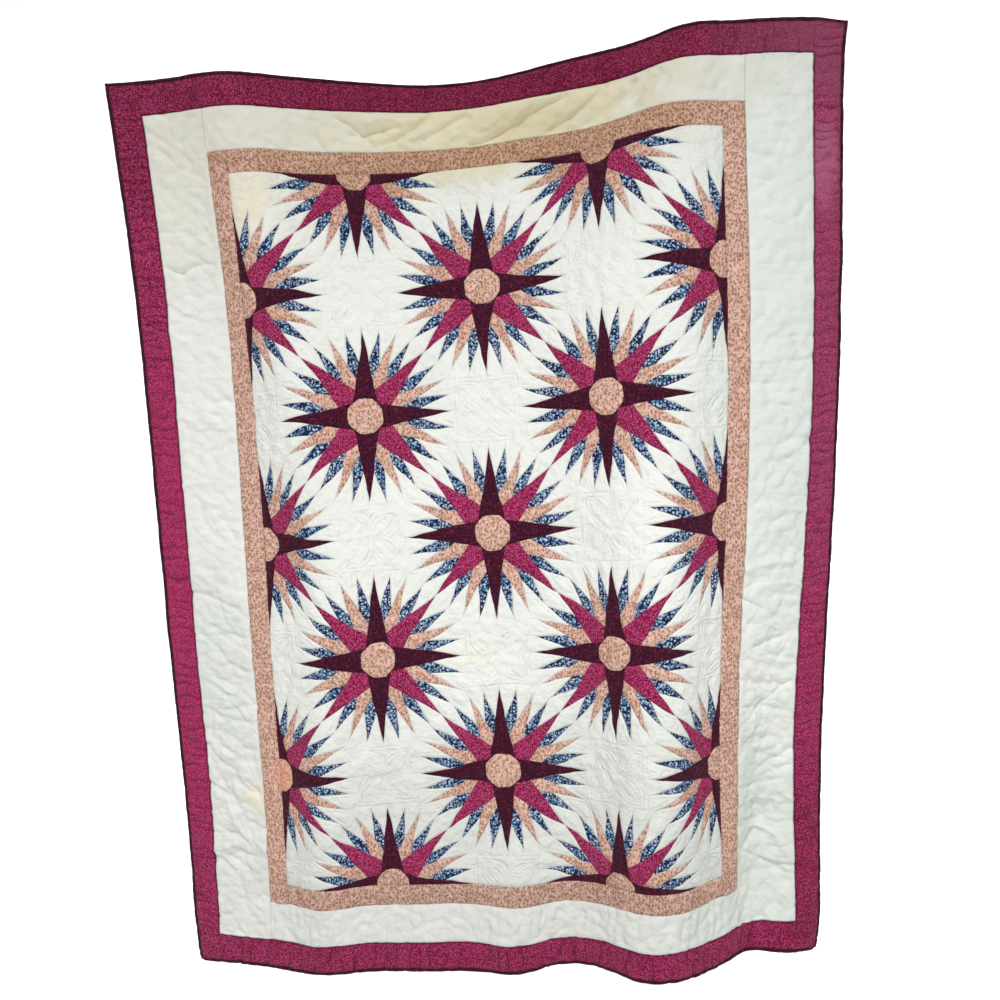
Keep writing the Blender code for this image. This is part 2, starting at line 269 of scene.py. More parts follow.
def ease(a, low, high):  # 0 at low, 1 at high, with soft ends
    if isinstance(a, Wire):
        values = {0: a, 1: low, 2: high, 3: 0.0, 4: 1.0}
        return a.paint.node("ShaderNodeMapRange", {"interpolation_type": "SMOOTHSTEP"}, values)
    share = np.clip((a - low) / (high - low), 0, 1)
    return share * share * (3 - 2 * share)


def linear(red, green, blue):  # screen values to a shader colour
    parts = [v / 255 for v in (red, green, blue)]
    return tuple(v / 12.92 if v <= 0.04045 else ((v + 0.055) / 1.055) ** 2.4 for v in parts) + (1.0,)


# one compass star, in squares from its centre: how far each kind of ray reaches and how fast it widens
star = {
    "circle": 0.143,  # its size, round by one share and eight-sided by the other
    "circleRound": 0.45,
    "circleSided": 0.55,
    "dark": (0.700, 0.172),
    "raspberry": (0.704, 0.195),
    "tan": (0.695, 0.160),
    "navy": (0.695, 0.190),
}


def starPlace(across, down):
    # stars stand on every other crossing of the square grid, so they sit on a lattice turned by 45
    # degrees: the place is rounded to that lattice, and what is left over is the offset
    column = across / quilt["square"] + quilt["squaresAcross"] / 2
    row = (down - fieldTop) / quilt["square"]
    first = (column + row - 1) * 0.5
    second = (column - row - 1) * 0.5
    first = first - nearestWhole(first)
    second = second - nearestWhole(second)
    return first + second, first - second


def gapPlace(across, down):
    # the same lattice moved by one square, for the open ground between four stars
    return starPlace(across + quilt["square"], down)


def wedge(along, beside, kind):  # above 0 inside a ray that narrows evenly to its tip
    reach, slope = star[kind]
    return slope * (reach - along) - beside


def starPatches(x, y):
    # folding the place about the axes, the diagonals and the rays between them leaves one ray of each kind
    flatX, flatY = abs(x), abs(y)
    long, short = larger(flatX, flatY), smaller(flatX, flatY)
    half, quarter = math.radians(22.5), math.radians(11.25)
    tanLong = long * math.cos(half) + short * math.sin(half)
    tanShort = abs(short * math.cos(half) - long * math.sin(half))
    navyLong = tanLong * math.cos(quarter) + tanShort * math.sin(quarter)
    navyShort = abs(tanShort * math.cos(quarter) - tanLong * math.sin(quarter))
    slanted = (long + short) * math.sqrt(0.5)
    outline = root(x * x + y * y) * star["circleRound"] + larger(long, slanted) * star["circleSided"]
    return {
        "navy": wedge(navyLong, navyShort, "navy"),
        "tan": wedge(tanLong, tanShort, "tan"),
        "raspberry": wedge(slanted, (long - short) * math.sqrt(0.5), "raspberry"),
        "dark": wedge(long, short, "dark"),
        "circle": star["circle"] - outline,
    }


def seamDistance(patches):
    # each patch lies over the ones before it: inside it only its own edge is a seam
    distance = abs(patches["navy"])
    for kind in ("tan", "raspberry", "dark", "circle"):
        distance = smaller(distance + 9.0 * (patches[kind] > 0.0), abs(patches[kind]))
    return distance


# quilting across the strips: distance between its lines, and how much of the puff they shape, for the
# side strips, the top strip and the bottom strip
quilting = {
    "tan": ((0.026, 0.35), (0.026, 0.35), (0.028, 0.45)),
    "white": ((0.038, 0.25), (0.044, 0.10), (0.033, 0.70)),
    "raspberry": ((0.026, 0.75), (0.036, 0.60), (0.034, 0.85)),
}


gapQuilting = {  # the open ground between four stars, in squares
    "frames": ((0.262, 0.004), (0.226, 0.008)),  # half side of each square frame, and how much fainter it is
    "petal": 0.285,  # length along a diagonal
    "bow": 0.30,
    "innerShare": 0.5,  # the line inside a petal bows by this share
    "echo": 0.038,  # from a petal to the line outside it
}


def gapStitches(x, y):
    # distance from the quilting of the open ground: a square frame of two lines round four crossed
    # petals, each petal a parabola on both sides of a diagonal with one more line inside it
    flatX, flatY = abs(x), abs(y)
    edge = larger(flatX, flatY)
    (outer, outerFaint), (inner, innerFaint) = gapQuilting["frames"]
    distance = smaller(abs(edge - outer) + outerFaint, abs(edge - inner) + innerFaint)
    along = (flatX + flatY) * (math.sqrt(0.5) / gapQuilting["petal"])
    beside = abs(flatX - flatY) * math.sqrt(0.5)
    bow = along * (1.0 - along) * gapQuilting["bow"]
    distance = smaller(distance, abs(beside - bow))
    distance = smaller(distance, abs(beside - bow * gapQuilting["innerShare"]))
    return smaller(distance, abs(beside - bow - gapQuilting["echo"]))


# hanging shape
def foldDepth(across, down):
    # every fold is a bell curve across and down, and each side turns back from a rounded start
    depth = np.zeros(np.broadcast(across, down).shape)
    for place, level, width, reach, lean, deep in hanging["folds"]:
        below = (down - level) / reach
        beside = (across - place - lean * (down - level)) / width
        depth = depth + deep * np.exp(-(beside**2) - below**2)
    share = down / quiltBottom
    for turn, outward in ((hanging["leftTurn"], -across), (hanging["rightTurn"], across)):
        start, soft, top, hem = turn
        depth = depth + (top + (hem - top) * share) * soft * np.logaddexp(0.0, (outward - start) / soft)
    return depth


def drape(across, down):
    # where the cloth turns in depth it advances less across and down, so its own lengths stay the same
    share = (np.arange(hanging["steps"]) + 0.5) / hanging["steps"]
    step = hanging["slopeStep"]
    shape = np.broadcast(across, down).shape
    across, down = np.broadcast_to(across, shape), np.broadcast_to(down, shape)
    advanceX, advanceZ = np.zeros(shape), np.zeros(shape)
    for part in share:
        slope = (foldDepth(across * part + step, down) - foldDepth(across * part - step, down)) / (2 * step)
        advanceX = advanceX + np.sqrt(np.maximum(1 - slope**2, 0.05)) / len(share)
        slope = (foldDepth(across, down * part + step) - foldDepth(across, down * part - step)) / (2 * step)
        advanceZ = advanceZ + np.sqrt(np.maximum(1 - slope**2, 0.05)) / len(share)
    deep, halfWidth, fade = hanging["dip"]
    topSlope, allSlope = hanging["rowSlope"]
    z = -down * advanceZ - deep * np.exp(-((across / halfWidth) ** 2) - down / fade)
    z = z + across * (topSlope * np.exp(-down) + allSlope)
    x = across * advanceX + hanging["hemDrift"] * down**2
    for place, level, reach, sideways, upward in hanging["pulls"]:
        share = np.exp(-((across - place) ** 2 + (down - level) ** 2) / reach**2)
        x, z = x + sideways * share, z + upward * share
    return np.stack([x, foldDepth(across, down), z], axis=-1)


topMiddle = drape(np.zeros(1), np.zeros(1))[0]


def hang(across, down):
    # middle of the cloth and its outward normal, on a grid whose rows run down and columns across
    middle = drape(across, down) - topMiddle
    falling = np.gradient(middle, axis=0, edge_order=2)
    along = np.gradient(middle, axis=1, edge_order=2)
    normal = np.cross(falling, along)
    return middle, normal / np.linalg.norm(normal, axis=-1)[..., None]


def crumple(across, down, size, seed):
    # sum of fourteen plane waves in spread directions, about size long, between -1 and 1 for the most part
    luck = np.random.default_rng(seed)
    total = np.zeros(np.broadcast(across, down).shape)
    for turn in np.linspace(0, math.pi, 14, endpoint=False) + luck.uniform(0, 0.2, 14):
        length = size * luck.uniform(0.75, 1.5)
        phase = luck.uniform(0, 2 * math.pi)
        total = total + np.sin(2 * math.pi * (across * math.cos(turn) + down * math.sin(turn)) / length + phase)
    return total / 4.5


def network(across, down, size, seed):
    # soft crossing creases: one where a crumple passes through zero, falling off on both sides of it
    return np.clip(1 - 1.7 * abs(crumple(across, down, size, seed)), 0, 1) ** 1.5


def pressed(across, down, lines):
    # depth of all creases: each follows a slightly bowed line and falls off on both sides of it from a
    # sharp bottom, a little steeper on one side, and it fades towards both ends
    depth = np.zeros(np.broadcast(across, down).shape)
    low, high = (across.min(), down.min()), (across.max(), down.max())
    for number, (startAcross, startDown, endAcross, endDown, width, deep) in enumerate(lines):
        reach = 3 * width + 0.03
        if max(startAcross, endAcross) < low[0] - reach or min(startAcross, endAcross) > high[0] + reach:
            continue
        if max(startDown, endDown) < low[1] - reach or min(startDown, endDown) > high[1] + reach:
            continue
        runAcross, runDown = endAcross - startAcross, endDown - startDown
        length = math.hypot(runAcross, runDown)
        bow = 0.10 * length * math.sin(2.4 * number)
        share = ((across - startAcross) * runAcross + (down - startDown) * runDown) / length**2
        side = ((across - startAcross) * runDown - (down - startDown) * runAcross) / length
        side = side - bow * 4 * np.clip(share, 0, 1) * (1 - np.clip(share, 0, 1))
        past = (share - np.clip(share, 0, 1)) * length
        bell = np.exp(0.24 - np.sqrt((side / width) ** 2 + 0.06) - (past / (1.5 * width)) ** 2)
        lean = 1 + 0.5 * np.tanh(side / width) * (1 if number % 2 else -1)
        depth = depth + deep * bell * lean * (0.45 + 0.55 * np.sin(np.pi * (0.1 + 0.8 * np.clip(share, 0, 1))))
    return depth


def strewnCreases():
    # many short creases for the wide side strips: each runs mostly across the strip, and they are
    # deeper and closer together towards the hem
    luck = np.random.default_rng(strewn["seed"])
    made = []
    for side, low, high, lean in strewn["strips"]:
        for level in np.cumsum(luck.uniform(*strewn["gap"], strewn["count"])) + strewn["start"]:
            share = min(level / quiltBottom, 1.0)
            if luck.uniform() > strewn["fewTop"] + (1 - strewn["fewTop"]) * share * 1.25:
                continue
            middle, length = luck.uniform(low, high), luck.uniform(*strewn["length"])
            turn = luck.normal(lean, strewn["turn"])
            reachAcross, reachDown = 0.5 * length * math.cos(turn), 0.5 * length * math.sin(turn)
            deep = luck.uniform(*strewn["depth"]) * (0.35 + 0.65 * share**1.5)
            deep = deep * (1 if luck.uniform() < strewn["inward"] else -1)
            wide = luck.uniform(*strewn["width"])
            start = (side * middle - reachAcross, level - reachDown)
            end = (side * middle + reachAcross, level + reachDown)
            made.append((*start, *end, wide, deep))
    return made


def crushed(across, down):
    # creases without a place of their own: deep in the wide white strips towards the hem, faint elsewhere
    beside = abs(across)
    strip = ease(beside, tanHalf - 0.01, tanHalf + 0.03) * ease(beside, whiteHalf + 0.01, whiteHalf - 0.03)
    ends = ease(down, fieldBottom, tanBottom + 0.02) + ease(down, fieldTop, tanTop - 0.02)
    low = ease(down, 0.7, 1.9)
    strength = 0.0013 + (0.0006 + 0.0014 * low) * np.clip(strip + 0.5 * ends, 0, 1)
    broad = network(across + 0.35 * down, down * 0.9, 0.100, 5)
    fine = network(across - 0.5 * down, down, 0.052, 6)
    return strength * (broad + 0.7 * fine) - 0.0012 * crumple(across, down, 0.16, 7)


# how far each patch or strip puffs up over its seams, in metres
relief = {
    "dark": 0.0032,
    "raspberry": 0.0030,
    "tan": 0.0026,
    "navy": 0.0022,
    "circle": 0.0040,
    "ground": 0.0036,
    "strip": 0.0026,
    "channel": 0.0034,  # between two quilting lines
    "pucker": 0.0014,
    "binding": 0.0017,
}


def seamRise(distance, soft):  # 0 at a seam, nearly 1 beyond soft
    return 1 - np.exp(-distance / soft)


def fieldRelief(across, down):
    # each patch is a soft pillow between its seams, and the open ground is quilted in lines that are
    # broken here and there and fainter near the top; one more line follows the stars
    patches = starPatches(*starPlace(across, down))
    away = seamDistance(patches)
    gap = gapPlace(across, down)
    kept = 0.75 * ease(crumple(across, down, 0.13, 9), -0.7, 0.5) * (0.5 + 0.5 * ease(down, 0.3, 0.9))
    lines = 1 - kept * ease(gapStitches(*gap), 0.022, 0.0)
    inFrame = ease(larger(abs(gap[0]), abs(gap[1])), 0.30, 0.26)
    echo = ease(abs(away - 0.035), 0.0, 0.016) * 0.6 + 0.4
    rise = relief["ground"] * (0.30 + 0.70 * (lines * inFrame + echo * (1 - inFrame)))
    for kind in ("navy", "tan", "raspberry", "dark", "circle"):
        rise = np.where(patches[kind] > 0, relief[kind], rise)
    edge = smaller(fieldHalf - abs(across), smaller(down - fieldTop, fieldBottom - down)) / quilt["square"]
    pucker = relief["pucker"] * crumple(across, down, 0.034, 3) * ease(away, 0.0, 0.04)
    return (rise + pucker) * seamRise(away, 0.022) * seamRise(edge, 0.02)


def stitchAway(place, run, channel):
    # distance from the nearest of the quilting lines that cross a strip: they slant a little, and three
    # waves make them wander
    wander = 0.008 * wave(run * 23.0) + 0.006 * wave(run * 61.0 + 2.0) + 0.003 * wave(place * 90.0 + run * 31.0)
    shifted = run + 0.08 * place + wander
    return abs(shifted - channel * nearestWhole(shifted / channel))


def stripRelief(seams, runsDown, channel, uneven, seed):
    # a pillow between the strip's two seams, with soft quilting lines across it, channel metres apart
    def rise(across, down):
        low, high = seams
        place, run = (abs(across), down) if runsDown else (down, across)
        away = smaller(place - low, high - place)
        beat = 1 - np.exp(-((stitchAway(place - low, run, channel) / 0.007) ** 2))
        height = relief["strip"] * (1 - uneven) + relief["channel"] * uneven * beat
        height = height + relief["pucker"] * crumple(across, down, 0.036, seed)
        return height * seamRise(away, 0.006)

    return rise


def bindingRelief(inner, outer, runsDown):
    # full beside the border, thinner and round at the edge, a little lumpy along it
    def rise(across, down):
        place, run = (abs(across), down) if runsDown else (down, across)
        share = np.clip((place - inner) / (outer - inner), 0, 1)
        lumps = 0.0003 * np.sin(run * 140.0) + 0.0002 * np.sin(run * 310.0 + 1.0)
        return relief["binding"] * np.sqrt(np.clip(1 - share**3, 0, 1)) - 0.0006 * share + lumps * (1 - share)

    return rise


loose = strewnCreases()


# cloth pieces
def clothPiece(name, spanAcross, spanDown, countAcross, countDown, coarse, rise, materials):
    # the front is a fine grid, the back takes every coarse-th line of it, and each wall face joins one
    # long edge of the back to the short edges of the front beside it, so the shell is closed
    gap = quilt["gap"] / 2
    lineAcross = np.linspace(spanAcross[0] + gap, spanAcross[1] - gap, countAcross + 1)
    lineDown = np.linspace(spanDown[0] + gap, spanDown[1] - gap, countDown + 1)
    across, down = np.meshgrid(lineAcross, lineDown)
    middle, normal = hang(across, down)
    wrinkle = -pressed(across, down, creases + loose) - crushed(across, down)
    height = rise(across, down)
    front = middle + (wrinkle + quilt["halfThick"] + height)[..., None] * normal
    back = middle + (wrinkle - quilt["halfThick"] - quilt["backShare"] * height)[..., None] * normal
    back = back[::coarse, ::coarse]

    fronts = np.arange(front.shape[0] * front.shape[1]).reshape(front.shape[:2])
    backs = fronts.size + np.arange(back.shape[0] * back.shape[1]).reshape(back.shape[:2])
    frontFaces = np.stack([fronts[:-1, :-1], fronts[1:, :-1], fronts[1:, 1:], fronts[:-1, 1:]], -1)
    backFaces = np.stack([backs[:-1, :-1], backs[:-1, 1:], backs[1:, 1:], backs[1:, :-1]], -1)
    frontFaces, backFaces = frontFaces.reshape(-1, 4), backFaces.reshape(-1, 4)
    walls = []
    for frontEdge, backEdge in (
        (fronts[0], backs[0]),
        (fronts[-1, ::-1], backs[-1, ::-1]),
        (fronts[::-1, 0], backs[::-1, 0]),
        (fronts[:, -1], backs[:, -1]),
    ):
        runs = np.lib.stride_tricks.sliding_window_view(frontEdge, coarse + 1)[::coarse]
        walls.append(np.hstack([runs, backEdge[1:, None], backEdge[:-1, None]]))
    walls = np.vstack(walls)

    mesh = bpy.data.meshes.new(name)
    points = np.vstack([front.reshape(-1, 3), back.reshape(-1, 3)])
    mesh.from_pydata(points, [], frontFaces.tolist() + backFaces.tolist() + walls.tolist())
    corners = np.zeros(len(mesh.loops), np.int32)
    mesh.loops.foreach_get("vertex_index", corners)
    flat = np.stack([across, down], -1)
    flatPlace = np.vstack([flat.reshape(-1, 2), flat[::coarse, ::coarse].reshape(-1, 2)])
    mesh.uv_layers.new(name="flat").uv.foreach_set("vector", flatPlace[corners].astype(np.float32).ravel())
    slots = np.zeros(len(mesh.polygons), np.int32)
    slots[len(frontFaces) : len(frontFaces) + len(backFaces)] = 1
    smooth = np.ones(len(mesh.polygons), bool)
    smooth[len(frontFaces) + len(backFaces) :] = False
    for material in materials:
        mesh.materials.append(material)
    mesh.polygons.foreach_set("material_index", slots)
    mesh.polygons.foreach_set("use_smooth", smooth)
    mesh.update()
    piece = bpy.data.objects.new(name, mesh)
    bpy.context.scene.collection.objects.link(piece)
    return piece


def gridCount(length, pitch, coarse):  # cells along a side, a whole number of coarse ones
    return max(1, round(length / pitch / coarse)) * coarse


# cotton finishes
cottons = {
    "white": linear(236, 237, 231),
    "whiteCool": linear(222, 228, 222),
    "tan": linear(220, 182, 163),
    "tanGold": linear(204, 162, 136),
    "tanRose": linear(230, 180, 174),
    "tanPale": linear(240, 212, 196),
    "tanDash": linear(138, 90, 76),
    "navy": linear(20, 38, 72),
    "navyFloret": linear(198, 212, 230),
    "navyLeaf": linear(74, 118, 160),
    "raspberry": linear(160, 32, 86),
    "raspberryDeep": linear(120, 16, 58),
    "raspberryPin": linear(210, 116, 158),
    "dark": linear(54, 9, 31),
    "darkSpot": linear(106, 38, 62),
    "backing": linear(228, 224, 210),
    "backingDim": linear(212, 207, 192),
}

thread = 0.0011  # from one thread to the next
# dark tones: on the raspberry's quilting lines, and painted shadow in the seam ditches
stitchAndSeamShade = {"field": linear(64, 44, 48), "white": linear(150, 140, 130), "raspberry": linear(62, 8, 34)}

# soft stains and tints, and painted shade and light: place across, down, half sizes, colour, strength
stainsAndShade = [
    (0.05, 0.06, 1.30, 0.30, linear(212, 211, 196), 0.70),  # painted shade: dimmer along the top
    (0.04, 0.13, 0.55, 0.20, linear(224, 214, 176), 0.75),  # cream tint at its middle, also darkened as painted shade
    # painted shade, cream-tinted, at the top middle
    (0.14, 0.145, 0.22, 0.07, linear(208, 195, 160), 0.50),
    (-0.72, 0.20, 0.45, 0.35, linear(224, 221, 204), 0.5),
    (0.80, 0.80, 0.30, 1.10, linear(218, 228, 222), 0.6),  # cooler at the right
    # painted light: lighter and cooler at the lower right, over the hem's painted shade
    (0.70, 2.10, 0.35, 0.60, linear(214, 226, 218), 0.5),
    (0.0, 2.02, 1.20, 0.50, linear(206, 209, 204), 0.52),  # painted shade: greyer towards the hem
    (-0.68, 1.84, 0.060, 0.055, linear(240, 229, 190), 0.50),  # yellow spot at the left
    (-0.78, 1.50, 0.16, 0.40, linear(212, 218, 214), 0.5),
    (-0.05, 1.465, 0.040, 0.035, linear(240, 230, 204), 0.40),
    (-0.565, 0.32, 0.07, 0.09, linear(238, 226, 200), 0.6),
]


def weave(paint, apart):
    # two crossed sine waves, each repeating from one thread to the next
    step = 2 * math.pi / apart
    return wave(paint.across * step) * wave(paint.down * step) * 0.00003


def faded(paint, tone, patches, blend="MIX"):
    # soft uneven ovals: place across, down, half sizes, colour, strength
    uneven = (paint.noise(0.06, 2.0, shift=15.0) - 0.5) * 0.9
    for across, down, halfWidth, halfHeight, tint, strength in patches:
        x, y = (paint.across - across) / halfWidth, (paint.down - down) / halfHeight
        tone = paint.mix(ease(x * x + y * y + uneven, 1.0, 0.0) * strength, tone, tint, blend)
    return tone


def besideSeam(paint, inner, outer, top, bottom, reach):
    # 1 right beside either long seam of a ring of strips, falling to 0 reach metres away
    x, y = abs(paint.across), abs(paint.down - quiltBottom / 2)
    middle = quiltBottom / 2
    fromInner = larger(x - inner, y - (middle - bottom))
    fromOuter = smaller(outer - x, (middle - top) - y)
    return ease(smaller(abs(fromInner), abs(fromOuter)), reach, 0.0)


def whiteCotton(paint):
    cloud = paint.noise(0.22, 3.0)
    tone = paint.mix(ease(cloud, 0.40, 0.75) * 0.4, cottons["white"], cottons["whiteCool"])
    # stains and tints, with painted shade along the top and towards the hem and painted light at the lower
    # right
    return faded(paint, tone, stainsAndShade)


tanShade = [  # painted shade along the top and bottom strips: ovals like the stains, but multiplied onto the print
    (0.0, 0.19, 0.90, 0.16, (0.76, 0.72, 0.60, 1.0), 1.0),
    (0.0, 2.14, 0.95, 0.14, (0.78, 0.80, 0.80, 1.0), 0.9),
]
tanStains = [(-0.60, 1.77, 0.050, 0.060, linear(238, 156, 118), 0.40)]


def tanCotton(paint):
    # the print with painted shade along the top and bottom, then its stain
    return faded(paint, faded(paint, tanPrint(paint), tanShade, "MULTIPLY"), tanStains)


def ragged(paint, distance, size, amount, shift):  # uneven edges for a printed spot
    return distance + (paint.noise(size, 1.0, shift=shift) - 0.5) * amount


def tanPrint(paint):
    # salmon and gold ground, closely strewn with small brown-rose dashes
    tone = paint.mix(ease(paint.noise(0.020, 2.0), 0.40, 0.62), cottons["tan"], cottons["tanGold"])
    tone = paint.mix(ease(paint.noise(0.012, 1.0, shift=3.0), 0.50, 0.66) * 0.7, tone, cottons["tanRose"])
    pale = paint.specks(0.0074, 11.0)[0]
    tone = paint.mix(ease(pale, 0.36, 0.20) * 0.6, tone, cottons["tanPale"])
    for size, shift, stretch, share in ((0.0076, 1.0, (1.0, 0.7), 0.74), (0.0058, 6.0, (0.75, 1.0), 0.50)):
        distance, chance = paint.specks(size, shift, stretch)[:2]
        spot = ease(ragged(paint, distance, 0.0020, 0.35, shift), 0.44, 0.18)
        tone = paint.mix(spot * (chance > 0.2) * share, tone, cottons["tanDash"])
    return tone


def navyPrint(paint):
    # white florets of two sizes with bluer leaves between them
    leaf, chance = paint.specks(0.0105, 5.0)[:2]
    leaf = ease(ragged(paint, leaf, 0.0030, 0.5, 2.0), 0.42, 0.26)
    tone = paint.mix(leaf * (chance > 0.20) * 0.85, cottons["navy"], cottons["navyLeaf"])
    for size, shift, share in ((0.0086, 9.0, 1.0), (0.0058, 13.0, 0.75)):
        floret, chance, second = paint.specks(size, shift)
        floret = ease(ragged(paint, floret, 0.0030, 0.22, shift), 0.36, 0.20)
        tone = paint.mix(floret * (chance > 0.36) * (second * 0.45 + 0.55) * share, tone, cottons["navyFloret"])
    return tone


def raspberryPrint(paint):
    # a fine mottled dye of two tones in deeper and fresher patches, closely sprinkled with pale pins
    mottled = ease(paint.noise(0.0076, 3.0), 0.40, 0.60)
    tone = paint.mix(mottled, cottons["raspberryDeep"], cottons["raspberry"])
    deeper = ease(paint.noise(0.060, 2.0, shift=21.0), 0.40, 0.70) * 0.45
    tone = paint.mix(deeper, tone, cottons["raspberryDeep"])
    for size, shift, stretch, share in ((0.0050, 2.0, (1.0, 0.7), 0.60), (0.0040, 8.0, (0.7, 1.0), 0.50)):
        distance, chance = paint.specks(size, shift, stretch)[:2]
        tone = paint.mix(ease(distance, 0.34, 0.12) * (chance > 0.35) * share, tone, cottons["raspberryPin"])
    return tone


def darkPrint(paint):
    # curling tone-on-tone spots
    spots = ease(abs(paint.noise(0.0110, 1.0, shift=7.0) - 0.5), 0.055, 0.015)
    return paint.mix(spots * 0.65, cottons["dark"], cottons["darkSpot"])


def clothRough(paint):
    return paint.noise(0.03, 2.0, shift=11.0) * 0.12 + 0.80


def puckers(paint, size, height, shift=4.0):
    # gathers of two sizes, sharper in their valleys: the distance of a noise from its middle
    broad = paint.noise(size, 1.0, shift=shift)
    fine = paint.noise(size * 0.45, 1.0, (1.0, 1.25), shift + 3.0)
    return abs(broad - 0.5) * height + abs(fine - 0.5) * (height * 0.45)


def crossStitches(paint, kind, inner, topStart, bottomStart):
    # 1 on the quilting lines across the strips of one ring, 0 away from them; the side strips run down
    # and the other two run across
    sides, top, bottom = quilting[kind]
    onSide, onBottom = abs(paint.across) > inner, paint.down > quiltBottom / 2
    fade = 0.15 + 0.85 * ease(paint.noise(0.06, 1.0, shift=5.0), 0.40, 0.60)
    total = 0.0
    for place, run, (channel, uneven), here in (
        (abs(paint.across) - inner, paint.down, sides, onSide),
        (paint.down - topStart, paint.across, top, (1.0 - onSide) * (1.0 - onBottom)),
        (paint.down - bottomStart, paint.across, bottom, (1.0 - onSide) * onBottom),
    ):
        total = total + ease(stitchAway(place, run, channel), 0.0045, 0.0) * here * uneven
    return total * fade


def starFieldMaterial():
    paint = Paint("starFieldPatchwork", 0.03)
    # hand sewing: every place moves a little, so no ray is quite straight
    wobbleX = paint.noise(0.11, 2.5, shift=1.5) - 0.5
    wobbleY = paint.noise(0.11, 2.5, shift=8.5) - 0.5
    across, down = paint.across + wobbleX * 0.014, paint.down + wobbleY * 0.014
    patches = starPatches(*starPlace(across, down))
    away = seamDistance(patches)
    # white and tan tones, with their painted shade along the top and bottom
    tone = whiteCotton(paint)
    tanTone = tanCotton(paint)
    raspberryTone = raspberryPrint(paint)
    for kind, colour in (
        ("navy", navyPrint(paint)),
        ("tan", tanTone),
        ("raspberry", raspberryTone),
        ("dark", darkPrint(paint)),
        ("circle", tanTone),
    ):
        tone = paint.mix(patches[kind] > 0.0, tone, colour)
    gapX, gapY = gapPlace(across, down)
    lines = ease(gapStitches(gapX, gapY), 0.020, 0.0)
    inFrame = ease(larger(abs(gapX), abs(gapY)), 0.30, 0.26)
    echo = ease(abs(away - 0.035), 0.016, 0.0)
    rays = larger(larger(patches["navy"], patches["tan"]), larger(patches["raspberry"], patches["dark"]))
    onGround = ease(rays, 0.0, -0.01)
    ditch = ease(away, 0.016, 0.0)
    broken = 0.12 + 0.88 * ease(paint.noise(0.055, 2.0, shift=6.0), 0.40, 0.62)
    fade = broken * (0.4 + 0.6 * ease(paint.down, 0.3, 0.9))
    sewnLines = lines * inFrame + echo * 0.6 * (1.0 - inFrame)
    groove = ditch * 0.0012 + onGround * fade * sewnLines * 0.0015
    height = weave(paint, thread) + puckers(paint, 0.030, 0.0058) * (onGround * 0.7 + 0.3) - groove
    # painted shadow in the seam ditches between patches
    tone = paint.mix(ease(away, 0.005, 0.0) * 0.22, tone, stitchAndSeamShade["field"])
    return paint.finish(tone, clothRough(paint), height)


def whiteMaterial():
    paint = Paint("whiteCotton", 0.03)
    stitches = crossStitches(paint, "white", tanHalf, whiteTop, tanBottom)
    rough = 0.25 + 0.75 * ease(paint.down, 0.2, 1.9)
    height = weave(paint, thread) + puckers(paint, 0.046, 0.0034) * rough - stitches * 0.0011
    # painted shadow in the ditch beside both seams; the bump sinks there too
    seam = besideSeam(paint, tanHalf, whiteHalf, whiteTop, tanTop, 0.003)
    tone = paint.mix(seam * 0.15, whiteCotton(paint), stitchAndSeamShade["white"])
    return paint.finish(tone, clothRough(paint), height - seam * 0.0008)


def tanMaterial():
    paint = Paint("tanCalico", 0.03)
    tone = tanCotton(paint)
    return paint.finish(tone, clothRough(paint), weave(paint, thread) + puckers(paint, 0.018, 0.0030))


raspberryShade = [  # painted shade, multiplied onto the print: along the top and the hem and at two corners
    (0.05, 0.03, 1.00, 0.18, (0.60, 0.48, 0.48, 1.0), 0.9),
    (0.10, 2.30, 1.20, 0.20, (0.88, 0.72, 0.82, 1.0), 0.9),
    (-0.88, 0.10, 0.30, 0.30, (0.80, 0.72, 0.76, 1.0), 0.8),
    (0.86, 2.05, 0.20, 0.35, (0.84, 0.66, 0.74, 1.0), 0.8),
]
raspberryFade = [
    (0.86, 0.34, 0.05, 0.14, linear(206, 140, 168), 0.35),
    (0.84, 0.06, 0.30, 0.16, linear(126, 70, 92), 0.45),
    (0.88, 0.60, 0.20, 0.95, linear(166, 82, 118), 0.30),
    (-0.86, 1.30, 0.18, 1.00, linear(188, 50, 106), 0.36),
    (0.90, 1.55, 0.14, 0.50, linear(176, 50, 104), 0.25),
]


def raspberryMaterial():
    paint = Paint("raspberryPinDot", 0.04)
    # the print with painted shade along the top and hem, then faded patches
    tone = faded(paint, raspberryPrint(paint), raspberryShade, "MULTIPLY")
    tone = faded(paint, tone, raspberryFade)
    stitches = crossStitches(paint, "raspberry", whiteHalf, outerTop, whiteBottom)
    seam = besideSeam(paint, whiteHalf, outerHalf, outerTop, whiteTop, 0.0070)
    # darker on the quilting lines, and painted shadow in the ditch beside both seams
    tone = paint.mix(larger(stitches * 0.60, seam * 0.70), tone, stitchAndSeamShade["raspberry"])
    height = weave(paint, thread) + puckers(paint, 0.022, 0.0040) - stitches * 0.0018 - seam * 0.0012
    return paint.finish(tone, clothRough(paint), height)


def darkMaterial():
    paint = Paint("darkMaroonBinding", 0.03)
    height = weave(paint, thread) + puckers(paint, 0.012, 0.0020)
    return paint.finish(darkPrint(paint), clothRough(paint), height)


